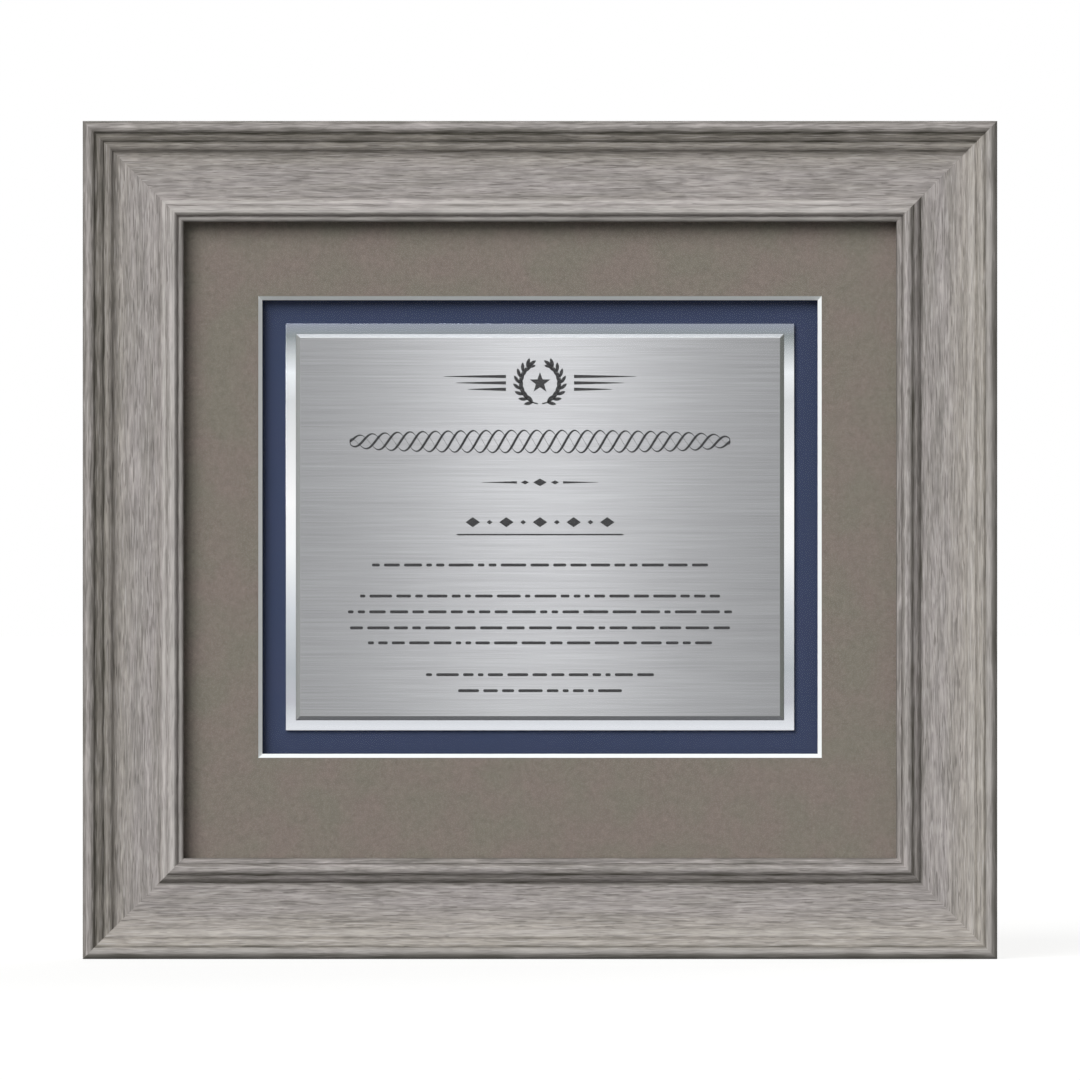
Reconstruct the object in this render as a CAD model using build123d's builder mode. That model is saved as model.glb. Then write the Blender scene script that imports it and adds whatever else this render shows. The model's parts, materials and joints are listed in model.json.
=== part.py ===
from build123d import *
import os
from math import asin, cos, degrees, sin, sqrt

# A wooden certificate frame: a mitred moulding holds glass, a window mat and a board with a metal plaque.
# Lengths are in millimetres. +X is right, +Z is up and the front faces -Y. The origin is under the middle
# of the bottom rail, halfway through the depth from the moulding's crown to the wall bumpers' faces.

os.makedirs("parts", exist_ok=True)

# Moulding
sight_width = 355.6
sight_height = 317.5
face_width = 50.0
relief = 9.0  # how far the outer crown stands in front of the sight edge
lip_thickness = 6.0  # of the wood in front of the glass, at the sight edge
rabbet_width = 6.35

# Sheets in the rabbet, from the front to the back
glass_thickness = 2.0
mat_thickness = 2.0
spacer_thickness = 5.0
board_thickness = 1.5
backing_thickness = 2.5
sheet_clearance = 0.8  # from a sheet's edge to the rabbet's wall

# Window in the mat, at its face, where the 45 degree bevel starts
window_margin = 13.7  # from the plaque's edges to the window's
window_rise = 6.5  # of the window's and the plaque's centre over the frame's
bevel_angle = 45
spacer_setback = 5.0  # from the window's back edge out to the spacer strips

# Plaque: a brushed face plate on a polished base plate
base_plate_width = 254.0
base_plate_height = 203.2
base_plate_thickness = 1.0
plate_rim = 5.0  # of the base plate that shows around the face plate
face_plate_thickness = 1.5
face_bevel_width = 2.0
face_bevel_depth = 0.9
pad_size = 20.0
pad_thickness = 1.0
pad_inset = 18.0  # from the base plate's edges to the pads' centres
tape_width = 18.0
tape_thickness = 0.4
tape_inset = 20.0  # from the face plate's ends to the tapes' centre lines

# V-shaped nails that draw the mitres together
nail_leg = 7.0
nail_thickness = 0.6
nail_depth = 10.0
nail_clearance = 0.05
nail_stations = [14.0, 33.0]  # from the outer edges to a nail's point

# Wood screws
shank_radius = 1.6
screw_length = 12.7  # under the head
head_radius = 3.3
head_height = 2.1
pilot_clearance = 0.05
pilot_spare = 1.0  # depth of the pilot hole past the screw's end

# Turn buttons that hold the backing board
button_thickness = 1.2
button_boss_radius = 6.0
button_tip_radius = 4.0
button_reach = 17.0  # from the pivot to the centre of the tip
button_pivot_setback = 9.0  # from the rabbet's wall out to the pivot
button_gap = 0.1  # between a button and what it turns against
pivot_clearance = 0.1
top_button_spread = 190.0
bottom_button_spread = 190.0
side_button_drop = 20.0  # below the frame's middle

# Strap hangers with D rings
hanger_inset = 21.8  # from the frame's side to the strap's centre line
hanger_drop = 125.5  # from the frame's top to the ring's hinge line
strap_width = 10.0
strap_leaf = 1.0
strap_fold_fillet = 1.2
strap_length = 36.0  # from the ring's hinge line to the strap's end
strap_first_hole = 19.0  # below the hinge line
strap_hole_pitch = 10.5
strap_hole_clearance = 0.2
ring_wire = 2.4
ring_wire_sides = 8
ring_corner_radius = 3.0
ring_side = 0.6  # of straight wire between a corner and the bow
ring_side_play = 0.4
ring_bore_clearance = 0.05
ring_rest_gap = 0.05

# Wall bumpers
bumper_radius = 5.0
bumper_height = 5.0
bumper_bevel = 0.5
bumper_inset = 36.0  # from the frame's side
bumper_rise = 14.0  # from the frame's bottom

# The moulding's face from its outer edge to its sight edge. A point holds its share of the face width and
# its share of the relief over the sight edge. The outer crown is level where its two arcs meet. Each row
# after it is one stretch of the outline: the point that its arc passes through, or None for a straight
# one, and its end.
outer_edge_share = (0.0, 0.80)
outer_crown_share = (0.048, 1.0)
outer_groove_share = (0.124, 0.711)
face_shares = [
    ((0.168, 0.790), (0.208, 0.533)),
    ((0.250, 0.600), (0.296, 0.256)),
    ((0.540, -0.061), (0.760, -0.050)),
    (None, (0.800, 0.140)),
    (None, (0.836, 0.111)),
    ((0.888, 0.367), (0.944, 0.060)),
    ((0.972, 0.105), (1.0, 0.0)),
]

# Places that follow from the sizes above. A depth is measured from the rails' back towards the front.
frame_width = sight_width + 2 * face_width
frame_height = sight_height + 2 * face_width
backing_front = backing_thickness
board_front = backing_front + board_thickness
spacer_front = board_front + spacer_thickness
mat_front = spacer_front + mat_thickness
glass_front = mat_front + glass_thickness
rabbet_depth = glass_front
sight_edge_depth = rabbet_depth + lip_thickness
overall_depth = sight_edge_depth + relief + bumper_height
back_y = overall_depth / 2 - bumper_height
sheet_width = sight_width + 2 * (rabbet_width - sheet_clearance)
sheet_height = sight_height + 2 * (rabbet_width - sheet_clearance)
back_plane = Plane(origin=(0, back_y, frame_height / 2), x_dir=(1, 0, 0), z_dir=(0, -1, 0))


def back_spot(x, height, x_dir=(1, 0, 0)):
    """A plane on the rails' back that looks backwards, height above the frame's middle."""
    return Plane(origin=(x, back_y, frame_height / 2 + height), x_dir=x_dir, z_dir=(0, 1, 0))


# Turn buttons: name, place on the rails' back and the way the arm points
pivot_inset = face_width - rabbet_width - button_pivot_setback
button_x = frame_width / 2 - pivot_inset
button_z = frame_height / 2 - pivot_inset
turn_buttons = {
    "turn_button_top_left": back_spot(-top_button_spread / 2, button_z, (0, 0, -1)),
    "turn_button_top_right": back_spot(top_button_spread / 2, button_z, (0, 0, -1)),
    "turn_button_bottom_left": back_spot(-bottom_button_spread / 2, -button_z, (0, 0, 1)),
    "turn_button_bottom_right": back_spot(bottom_button_spread / 2, -button_z, (0, 0, 1)),
    "turn_button_left": back_spot(-button_x, -side_button_drop, (1, 0, 0)),
    "turn_button_right": back_spot(button_x, -side_button_drop, (-1, 0, 0)),
}

# Strap hangers: a plane at the hinge line of each, whose y runs down the strap
hanger_x = frame_width / 2 - hanger_inset
hangers = {
    side: back_spot(sign * hanger_x, frame_height / 2 - hanger_drop)
    for side, sign in (("left", -1), ("right", 1))
}
strap_thickness = 2 * strap_leaf
strap_hole_drops = [strap_first_hole, strap_first_hole + strap_hole_pitch]


def nail_outline(grow):
    """The eight nails as seen from the back, each an L with its legs along the two rails."""
    width = nail_thickness + 2 * grow
    leg = nail_leg + 2 * grow
    with BuildSketch(back_plane) as outline:
        for side in (-1, 1):
            for level in (-1, 1):
                toward_x = Align.MIN if side < 0 else Align.MAX
                toward_z = Align.MIN if level < 0 else Align.MAX
                for station in nail_stations:
                    corner_x = side * (frame_width / 2 - station + grow)
                    corner_z = level * (frame_height / 2 - station + grow)
                    with Locations((corner_x, corner_z)):
                        Rectangle(leg, width, align=(toward_x, toward_z))
                        Rectangle(width, leg, align=(toward_x, toward_z))
    return outline.sketch


def pilot_holes(buttons, straps):
    """The places and depths of the screw holes for some turn buttons and strap hangers."""
    button_hole = screw_length - button_thickness - 2 * button_gap + pilot_spare
    strap_hole = screw_length - strap_thickness + pilot_spare
    holes = [(turn_buttons[name], button_hole) for name in buttons]
    for side in straps:
        for drop in strap_hole_drops:
            hole = hangers[side].from_local_coords((0, drop, 0))
            holes.append((Plane(hole, z_dir=hangers[side].z_dir), strap_hole))
    return holes


def face_point(share):
    """A point of the moulding's face, with x in from the outer edge and y from the back to the front."""
    return (share[0] * face_width, sight_edge_depth + share[1] * relief)


def build_rail(outward, along, length, holes):
    """One rail: the moulding's section run past both corners, then mitred, slotted and drilled.

    outward points from the frame's middle to the rail's outer edge, and along runs from end to end.
    """
    reach = (frame_width if outward.X else frame_height) / 2
    outer_edge = back_plane.origin + outward * reach
    section_plane = Plane(outer_edge, x_dir=-outward, z_dir=outward.cross(Vector(0, 1, 0)))
    rabbet_wall = face_width - rabbet_width
    with BuildPart() as rail:
        with BuildSketch(section_plane):
            with BuildLine():
                outer_crown = face_point(outer_crown_share)
                start = face_point(outer_groove_share)
                TangentArc(outer_crown, face_point(outer_edge_share), tangent=(-1, 0))
                TangentArc(outer_crown, start, tangent=(1, 0))
                for through, end in face_shares:
                    if through:
                        ThreePointArc(start, face_point(through), face_point(end))
                    else:
                        Line(start, face_point(end))
                    start = face_point(end)
                Polyline(
                    start,
                    (face_width, rabbet_depth),
                    (rabbet_wall, rabbet_depth),
                    (rabbet_wall, 0),
                    (0, 0),
                    face_point(outer_edge_share),
                )
            make_face()
        extrude(amount=length / 2, both=True)
        for end in (-1, 1):
            corner = outer_edge + along * (end * length / 2)
            split(bisect_by=Plane(corner, z_dir=outward - along * end), keep=Keep.TOP)
        extrude(nail_outline(nail_clearance), amount=nail_depth + nail_clearance, mode=Mode.SUBTRACT)
        for plane, depth in holes:
            with Locations(plane):
                Hole(shank_radius + pilot_clearance, depth)
    return rail.part


# Four rails, mitred at 45 degrees, with the screw holes of what each carries
up, right = Vector(0, 0, 1), Vector(1, 0, 0)
top_holes = pilot_holes(["turn_button_top_left", "turn_button_top_right"], [])
top_rail = build_rail(up, right, frame_width, top_holes)
top_rail.label = "top_rail"
export_step(top_rail, "parts/top_rail.step")

bottom_holes = pilot_holes(["turn_button_bottom_left", "turn_button_bottom_right"], [])
bottom_rail = build_rail(-up, right, frame_width, bottom_holes)
bottom_rail.label = "bottom_rail"
export_step(bottom_rail, "parts/bottom_rail.step")

left_rail = build_rail(-right, up, frame_height, pilot_holes(["turn_button_left"], ["left"]))
left_rail.label = "left_rail"
export_step(left_rail, "parts/left_rail.step")

right_rail = build_rail(right, up, frame_height, pilot_holes(["turn_button_right"], ["right"]))
right_rail.label = "right_rail"
export_step(right_rail, "parts/right_rail.step")

# Nails across the mitres, driven flush from the back
with BuildPart() as corner_v_nails:
    extrude(nail_outline(0), amount=nail_depth)
corner_v_nails.part.label = "corner_v_nails"
export_step(corner_v_nails.part, "parts/corner_v_nails.step")

# Glass against the lip
with BuildPart() as glass_pane:
    with BuildSketch(back_plane.offset(glass_front)):
        Rectangle(sheet_width, sheet_height)
    extrude(amount=-glass_thickness)
glass_pane.part.label = "glass_pane"
export_step(glass_pane.part, "parts/glass_pane.step")

# Window mat, whose window is cut on a slope that shows the board's core
window_width = base_plate_width + 2 * window_margin
window_height = base_plate_height + 2 * window_margin
with BuildPart() as window_mat:
    with BuildSketch(back_plane.offset(mat_front)):
        Rectangle(sheet_width, sheet_height)
    extrude(amount=-mat_thickness)
    with BuildSketch(back_plane.offset(mat_front)):
        with Locations((0, window_rise)):
            Rectangle(window_width, window_height)
    extrude(amount=-mat_thickness, taper=bevel_angle, mode=Mode.SUBTRACT)
window_mat.part.label = "window_mat"
export_step(window_mat.part, "parts/window_mat.step")

# Foam-board strips that hold the mat off the board, butted round the window
window_back_width = window_width - 2 * mat_thickness
window_back_height = window_height - 2 * mat_thickness
spacer_inner_x = window_back_width / 2 + spacer_setback
spacer_inner_top = window_rise + window_back_height / 2 + spacer_setback
spacer_inner_bottom = window_rise - window_back_height / 2 - spacer_setback
spacer_plane = back_plane.offset(spacer_front)

with BuildPart() as spacer_strip_top:
    with BuildSketch(spacer_plane):
        with Locations((0, sheet_height / 2)):
            Rectangle(sheet_width, sheet_height / 2 - spacer_inner_top, align=(Align.CENTER, Align.MAX))
    extrude(amount=-spacer_thickness)
spacer_strip_top.part.label = "spacer_strip_top"
export_step(spacer_strip_top.part, "parts/spacer_strip_top.step")

with BuildPart() as spacer_strip_bottom:
    with BuildSketch(spacer_plane):
        with Locations((0, -sheet_height / 2)):
            Rectangle(sheet_width, sheet_height / 2 + spacer_inner_bottom, align=(Align.CENTER, Align.MIN))
    extrude(amount=-spacer_thickness)
spacer_strip_bottom.part.label = "spacer_strip_bottom"
export_step(spacer_strip_bottom.part, "parts/spacer_strip_bottom.step")

for side, sign in (("left", -1), ("right", 1)):
    with BuildPart() as spacer_strip_side:
        with BuildSketch(spacer_plane):
            with Locations((sign * sheet_width / 2, spacer_inner_bottom)):
                Rectangle(
                    sheet_width / 2 - spacer_inner_x,
                    spacer_inner_top - spacer_inner_bottom,
                    align=(Align.MIN if sign < 0 else Align.MAX, Align.MIN),
                )
        extrude(amount=-spacer_thickness)
    spacer_strip_side.part.label = f"spacer_strip_{side}"
    export_step(spacer_strip_side.part, f"parts/spacer_strip_{side}.step")

# Board that the plaque is stuck to
with BuildPart() as plaque_board:
    with BuildSketch(back_plane.offset(board_front)):
        Rectangle(sheet_width, sheet_height)
    extrude(amount=-board_thickness)
plaque_board.part.label = "plaque_board"
export_step(plaque_board.part, "parts/plaque_board.step")

# Plaque, from the board forwards: foam pads, base plate, tapes and the bevelled face plate
with BuildPart() as plaque_foam_pads:
    with BuildSketch(back_plane.offset(board_front)):
        with Locations((0, window_rise)):
            with GridLocations(base_plate_width - 2 * pad_inset, base_plate_height / 2 - pad_inset, 2, 3):
                Rectangle(pad_size, pad_size)
    extrude(amount=pad_thickness)
plaque_foam_pads.part.label = "plaque_foam_pads"
export_step(plaque_foam_pads.part, "parts/plaque_foam_pads.step")

base_plate_back = board_front + pad_thickness
with BuildPart() as plaque_base_plate:
    with BuildSketch(back_plane.offset(base_plate_back)):
        with Locations((0, window_rise)):
            Rectangle(base_plate_width, base_plate_height)
    extrude(amount=base_plate_thickness)
plaque_base_plate.part.label = "plaque_base_plate"
export_step(plaque_base_plate.part, "parts/plaque_base_plate.step")

tape_back = base_plate_back + base_plate_thickness
face_plate_width = base_plate_width - 2 * plate_rim
face_plate_height = base_plate_height - 2 * plate_rim
with BuildPart() as plaque_tapes:
    with BuildSketch(back_plane.offset(tape_back)):
        with Locations((0, window_rise)):
            with GridLocations(face_plate_width - 2 * tape_inset, 0, 2, 1):
                Rectangle(tape_width, face_plate_height - 2 * tape_inset)
    extrude(amount=tape_thickness)
plaque_tapes.part.label = "plaque_tapes"
export_step(plaque_tapes.part, "parts/plaque_tapes.step")

face_plate_back = tape_back + tape_thickness
face_bevel_start = face_plate_thickness - face_bevel_depth
with BuildPart() as plaque_face_plate:
    with BuildSketch(back_plane.offset(face_plate_back)):
        with Locations((0, window_rise)):
            Rectangle(face_plate_width, face_plate_height)
    extrude(amount=face_bevel_start)
    for depth, inset in ((face_bevel_start, 0), (face_plate_thickness, face_bevel_width)):
        with BuildSketch(back_plane.offset(face_plate_back + depth)):
            with Locations((0, window_rise)):
                Rectangle(face_plate_width - 2 * inset, face_plate_height - 2 * inset)
    loft()
plaque_face_plate.part.label = "plaque_face_plate"
export_step(plaque_face_plate.part, "parts/plaque_face_plate.step")

# Backing board, flush with the rails' back
with BuildPart() as backing_board:
    with BuildSketch(back_plane.offset(backing_front)):
        Rectangle(sheet_width, sheet_height)
    extrude(amount=-backing_thickness)
backing_board.part.label = "backing_board"
export_step(backing_board.part, "parts/backing_board.step")

# A screw that stands on XY with its head up
with BuildPart() as screw:
    Cylinder(head_radius, head_height, align=(Align.CENTER, Align.CENTER, Align.MIN))
    Cylinder(shank_radius, screw_length, align=(Align.CENTER, Align.CENTER, Align.MAX))

# A turn button that lies on XY with its pivot at the origin and its arm along X
with BuildPart() as turn_button:
    with BuildSketch():
        Circle(button_boss_radius)
        with Locations((button_reach, 0)):
            Circle(button_tip_radius)
        make_hull()
    extrude(amount=button_thickness)
    Hole(shank_radius + pivot_clearance)

for name, plane in turn_buttons.items():
    with BuildPart() as placed_button:
        with Locations(plane.offset(button_gap)):
            add(turn_button.part)
    placed_button.part.label = name
    export_step(placed_button.part, f"parts/{name}.step")

with BuildPart() as turn_button_screws:
    with Locations(*[plane.offset(button_thickness + 2 * button_gap) for plane in turn_buttons.values()]):
        add(screw.part)
turn_button_screws.part.label = "turn_button_screws"
export_step(turn_button_screws.part, "parts/turn_button_screws.step")

# A strap hanger that lies on XY with its hinge line over the X axis and its tail along +Y. The strap is
# folded double round the ring's bar, so its section is two leaves that open into a loop.
loop_bore = ring_wire / 2 + ring_bore_clearance
loop_radius = loop_bore + strap_leaf
with BuildPart() as hanger_strap:
    with BuildSketch(Plane.YZ) as strap_section:
        with Locations((0, loop_radius)):
            Circle(loop_radius)
        Rectangle(strap_length, strap_thickness, align=(Align.MIN, Align.MIN))
        crease_y = sqrt(loop_radius**2 - (loop_radius - strap_thickness) ** 2)
        crease = strap_section.vertices().sort_by_distance((0, crease_y, strap_thickness))[0]
        fillet(crease, strap_fold_fillet)
        with Locations((0, loop_radius)):
            Circle(loop_bore, mode=Mode.SUBTRACT)
    extrude(amount=strap_width / 2, both=True)
    tail_corners = hanger_strap.edges().filter_by(Axis.Z).group_by(Axis.Y)[-1]
    fillet(tail_corners, strap_width / 2 - strap_leaf / 2)
    with Locations(*[(0, drop, strap_thickness) for drop in strap_hole_drops]):
        Hole(shank_radius + strap_hole_clearance)

# The D ring: a straight bar through the loop, two tight corners and a bow, all of one wire whose round
# is drawn as a few flats. It hangs down over the strap and leans out by the angle at which its bow lies
# on the strap's face.
bar_half = strap_width / 2 + ring_side_play
bow_radius = bar_half + ring_corner_radius
bow_start = ring_corner_radius + ring_side
strap_edge_drop = bow_start + sqrt(bow_radius**2 - (strap_width / 2) ** 2)
ring_lean = asin((strap_thickness + ring_wire / 2 + ring_rest_gap - loop_radius) / strap_edge_drop)
ring_plane = Plane(origin=(0, 0, loop_radius), x_dir=(1, 0, 0), z_dir=(0, -sin(ring_lean), cos(ring_lean)))
with BuildPart() as hanger_ring:
    with BuildLine(ring_plane) as half_ring:
        bar = Line((0, 0), (bar_half, 0))
        corner = JernArc(bar @ 1, bar % 1, ring_corner_radius, 90)
        side_run = Line(corner @ 1, (bow_radius, bow_start))
        JernArc(side_run @ 1, side_run % 1, bow_radius, 90)
    with BuildSketch(Plane(origin=ring_plane.origin, x_dir=ring_plane.z_dir, z_dir=ring_plane.x_dir)):
        RegularPolygon(ring_wire / 2, ring_wire_sides, rotation=180 / ring_wire_sides)
    sweep()
    mirror(about=Plane.YZ)

for side, plane in hangers.items():
    with BuildPart() as placed_strap:
        with Locations(plane):
            add(hanger_strap.part)
    placed_strap.part.label = f"{side}_hanger_strap"
    export_step(placed_strap.part, f"parts/{side}_hanger_strap.step")

    with BuildPart() as placed_ring:
        with Locations(plane):
            add(hanger_ring.part)
    placed_ring.part.label = f"{side}_hanger_ring"
    export_step(placed_ring.part, f"parts/{side}_hanger_ring.step")

strap_screw_seats = [
    plane.offset(strap_thickness) * Pos(0, drop, 0) for plane in hangers.values() for drop in strap_hole_drops
]
with BuildPart() as hanger_screws:
    with Locations(*strap_screw_seats):
        add(screw.part)
hanger_screws.part.label = "hanger_screws"
export_step(hanger_screws.part, "parts/hanger_screws.step")

# Rubber bumpers that keep the bottom of the frame off the wall
with BuildPart() as wall_bumpers:
    for sign in (-1, 1):
        with Locations(back_spot(sign * (frame_width / 2 - bumper_inset), bumper_rise - frame_height / 2)):
            Cylinder(bumper_radius, bumper_height, align=(Align.CENTER, Align.CENTER, Align.MIN))
    wall_rims = wall_bumpers.edges().filter_by(GeomType.CIRCLE).group_by(Axis.Y)[-1]
    chamfer(wall_rims, bumper_bevel)
wall_bumpers.part.label = "wall_bumpers"
export_step(wall_bumpers.part, "parts/wall_bumpers.step")

print(f"frame {frame_width:.1f} x {frame_height:.1f} x {overall_depth:.1f} mm")
print(f"rings lean out by {degrees(ring_lean):.2f} degrees")
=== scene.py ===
"""A weathered wooden certificate frame, dressed piece by piece as a framer puts it together.

Lengths are in metres, +X is right, +Z is up and the front of the frame faces -Y.
"""

import json

import bmesh
import bpy
import numpy as np
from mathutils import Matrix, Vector


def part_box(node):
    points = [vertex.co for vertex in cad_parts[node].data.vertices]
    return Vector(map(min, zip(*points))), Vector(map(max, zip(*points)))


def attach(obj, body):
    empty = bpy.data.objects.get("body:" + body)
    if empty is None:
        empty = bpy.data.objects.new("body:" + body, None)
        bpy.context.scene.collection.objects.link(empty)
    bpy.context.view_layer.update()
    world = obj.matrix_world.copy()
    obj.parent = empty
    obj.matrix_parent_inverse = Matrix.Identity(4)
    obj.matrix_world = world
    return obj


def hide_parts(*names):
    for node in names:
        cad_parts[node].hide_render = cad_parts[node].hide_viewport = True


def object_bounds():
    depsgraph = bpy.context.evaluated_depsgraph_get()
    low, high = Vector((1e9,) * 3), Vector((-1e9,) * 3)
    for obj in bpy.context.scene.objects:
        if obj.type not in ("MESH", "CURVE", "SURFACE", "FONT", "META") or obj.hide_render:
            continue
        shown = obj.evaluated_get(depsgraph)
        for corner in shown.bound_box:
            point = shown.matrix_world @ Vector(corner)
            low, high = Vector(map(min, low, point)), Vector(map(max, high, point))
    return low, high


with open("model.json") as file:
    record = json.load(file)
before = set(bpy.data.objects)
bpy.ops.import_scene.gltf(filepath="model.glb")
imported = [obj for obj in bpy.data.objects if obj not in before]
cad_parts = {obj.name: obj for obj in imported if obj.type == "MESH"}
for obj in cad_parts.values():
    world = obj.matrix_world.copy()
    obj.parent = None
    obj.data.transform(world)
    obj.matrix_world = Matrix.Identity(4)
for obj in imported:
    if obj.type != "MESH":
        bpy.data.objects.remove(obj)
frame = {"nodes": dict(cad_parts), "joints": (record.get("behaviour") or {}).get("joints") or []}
cad_bounds = [list(map(float, corner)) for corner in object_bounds()]
nodes = frame["nodes"]
joints = {joint["name"]: joint for joint in frame["joints"]}
MM = 0.001

# Moulding rails
# Four lengths of a carved wooden moulding, mitred at the corners. The wood has a grey wash that was rubbed
# back over a dark glaze, so the hollows stay dark, the crests go pale and the pores show as short dashes.
# Each rail is its section carried along the rail, with the small waver of a worn, hand-rubbed edge.
FACE_WIDTH = 50.0 * MM
RELIEF = 9.0 * MM  # of the outer crown over the sight edge
LIP = 6.0 * MM  # of the wood in front of the glass
NAIL_PROUD = 0.02 * MM  # how far the nails' backs stand behind the wood
SHEET_CLEARANCE = 0.8 * MM  # from a sheet's edge to the rabbet's wall
FACE_STEP = 0.3 * MM
SIDE_STEP = 2.0 * MM
STATION_STEP = 1.6 * MM
MITRE_FADE = 14.0 * MM  # the waver dies out over this length before a mitre
FACE_FADE = 2.0 * MM  # and over this width before the face's own two edges
WAVER = 0.08 * MM
WAVER_SPREAD = 1.5 * MM  # how far to either side a bead's edge takes the wood with it
WAVER_LENGTHS = np.array([13.0, 23.0, 41.0, 67.0]) * MM
WEAR = 0.22 * MM
SEEDS_A_RAIL, WIPE_SEED, WEAR_SEED = 10, 7, 9  # of the waves, after those of a rail's wavering edges
HOLLOW_SPAN = 1.6 * MM  # the width over which a hollow is told from a crest
FULL_HOLLOW = 0.30 * MM
FULL_CREST = 0.16 * MM
UNEVEN_WIPE = 0.3  # of the glaze and the rubbing, along a rail
# Painted light on the rails: shares by which the glaze and the rubbing shift, so that the upper and left
# rails, which face the key lamp, get painted shade on their outer beads and a painted highlight on the step
# at the sight edge, and the lower and right rails the reverse
GLAZE_PAINTED_LIGHT = 0.45
RUB_PAINTED_LIGHT = 0.85
# The soil of handling lies along the outer edge and at the sight edge, and the lower and right rails, which
# face away from the key lamp, get a band of painted shade further in from their outer edge: how deep each
# is, how far in it reaches and over what width it fades.
EDGE_SOIL, EDGE_SOIL_WIDTH, EDGE_SOIL_FADE = 0.6, 2.8 * MM, 1.2 * MM
PAINTED_EDGE_SHADE, PAINTED_EDGE_SHADE_WIDTH, PAINTED_EDGE_SHADE_FADE = 0.28, 7.5 * MM, 2.0 * MM
SIGHT_SOIL, SIGHT_SOIL_WIDTH, SIGHT_SOIL_FADE = 0.35, 2.6 * MM, 1.0 * MM
EDGE_SOIL_PAINTED_LIGHT, EDGE_SOIL_WIDTH_PAINTED_LIGHT = 0.2, 0.18  # shares by which the outer edge's soil is painted lighter on the upper and left rails and darker, as painted shade, on the lower and right ones

# The carved face, from the outer edge to the sight edge, as shares of the face's width and of the relief.
# Each row of carved_shares is one stretch: the point that its arc goes through, or None, and its end.
outer_edge_share = (0.0, 0.70)
outer_crown_share = (0.072, 1.0)
outer_groove_share = (0.124, 0.800)
carved_shares = [
    ((0.170, 0.685), (0.208, 0.475)),
    ((0.254, 0.405), (0.298, 0.170)),
    ((0.326, 0.065), (0.380, -0.005)),
    ((0.580, -0.070), (0.756, -0.055)),
    (None, (0.796, 0.200)),
    (None, (0.836, 0.335)),
    ((0.874, 0.480), (0.906, 0.505)),
    ((0.926, 0.420), (0.945, 0.190)),
    ((0.971, 0.195), (1.0, 0.0)),
]
wavering_edge_shares = [0.11, 0.208, 0.298, 0.79, 0.945]
# The lines of dark glaze: where each lies, how many millimetres it spreads and how deep it is
glaze_lines = [
    (0.096, 1.8, 0.34),
    (0.126, 0.8, 0.75),
    (0.168, 1.4, 0.22),
    (0.208, 0.8, 0.65),
    (0.300, 0.9, 0.40),
    (0.758, 1.1, 0.50),
    (0.840, 1.0, 0.62),
    (0.936, 0.8, 0.30),
]
# The lines that were rubbed back to the pale wash, in the same way
rubbed_lines = [(0.275, 1.2, 0.25), (0.806, 0.9, 0.45), (0.880, 0.9, 0.45)]

UP, RIGHT, BACKWARDS = np.array([0.0, 0.0, 1.0]), np.array([1.0, 0.0, 0.0]), np.array([0.0, 1.0, 0.0])
FRAME_MIDDLE = (np.array(cad_bounds[0]) + cad_bounds[1]) / 2 * (1 - BACKWARDS)
FRAME_HALF = (np.array(cad_bounds[1]) - cad_bounds[0]) / 2
SHEET_HALF = np.array(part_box("backing_board")[1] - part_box("backing_board")[0]) / 2


def linear(colour):
    """An sRGB hex colour as linear red, green, blue and a full alpha."""
    value = np.array([int(colour[i : i + 2], 16) for i in (1, 3, 5)]) / 255
    value = np.where(value <= 0.04045, value / 12.92, ((value + 0.055) / 1.055) ** 2.4)
    return (*value.tolist(), 1.0)


def new_material(name):
    """A material with a Principled shader on its output, as its node tree and that shader."""
    made = bpy.data.materials.new(name)
    made.use_nodes = True
    tree = made.node_tree
    tree.nodes.clear()
    shader = tree.nodes.new("ShaderNodeBsdfPrincipled")
    output = tree.nodes.new("ShaderNodeOutputMaterial")
    tree.links.new(shader.outputs[0], output.inputs["Surface"])
    return made, tree, shader


def connect(tree, node, inputs):
    """Gives each named or numbered input of a node its value, or its link from another node's output."""
    for name, value in inputs.items():
        if isinstance(value, bpy.types.NodeSocket):
            tree.links.new(value, node.inputs[name])
        else:
            node.inputs[name].default_value = value


def add_node(tree, kind, inputs, stops=(), output=0, **settings):
    """Adds a node, sets it and connects its inputs, and gives back one of its outputs.

    output is that one's name or number. stops are those of a colour ramp, in order: the place and the hex
    colour or grey level of each.
    """
    node = tree.nodes.new("ShaderNode" + kind)
    for name, value in settings.items():
        setattr(node, name, value)
    for _ in stops[2:]:
        node.color_ramp.elements.new(1.0)
    for k, (position, colour) in enumerate(stops):
        node.color_ramp.elements[k].position = position
        grey = isinstance(colour, float)
        node.color_ramp.elements[k].color = (colour, colour, colour, 1.0) if grey else linear(colour)
    connect(tree, node, inputs)
    return node.outputs[output]


def streaks(tree, source, across, along, detail, turn=0.0, wave=0.0):
    """Noise that a mapping stretches into streaks of a real width and length.

    turn moves the noise, so that no two layers match, and wave is how far it is warped, in streaks.
    """
    layout = {"Vector": source, "Location": (turn, turn, turn), "Scale": (1 / across, 1 / along, 1)}
    stretched = add_node(tree, "Mapping", layout)
    settings = {"Vector": stretched, "Scale": 1, "Detail": detail, "Distortion": wave}
    return add_node(tree, "TexNoise", settings)


def lightened(tree, colour, *layers):
    """A colour that is lighter and darker by layers, each a noise and its least and greatest light.

    Most of a noise lies from 0.3 to 0.7. That range is laid over the two lights, and the colour is
    multiplied by what all the layers give.
    """
    light = None
    for noise, least, greatest in layers:
        limits = {"Value": noise, "From Min": 0.3, "From Max": 0.7, "To Min": least, "To Max": greatest}
        layer = add_node(tree, "MapRange", limits)
        if light is not None:
            layer = add_node(tree, "Math", {0: light, 1: layer}, operation="MULTIPLY")
        light = layer
    return add_node(tree, "VectorMath", {0: colour, "Scale": light}, operation="SCALE")


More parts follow.
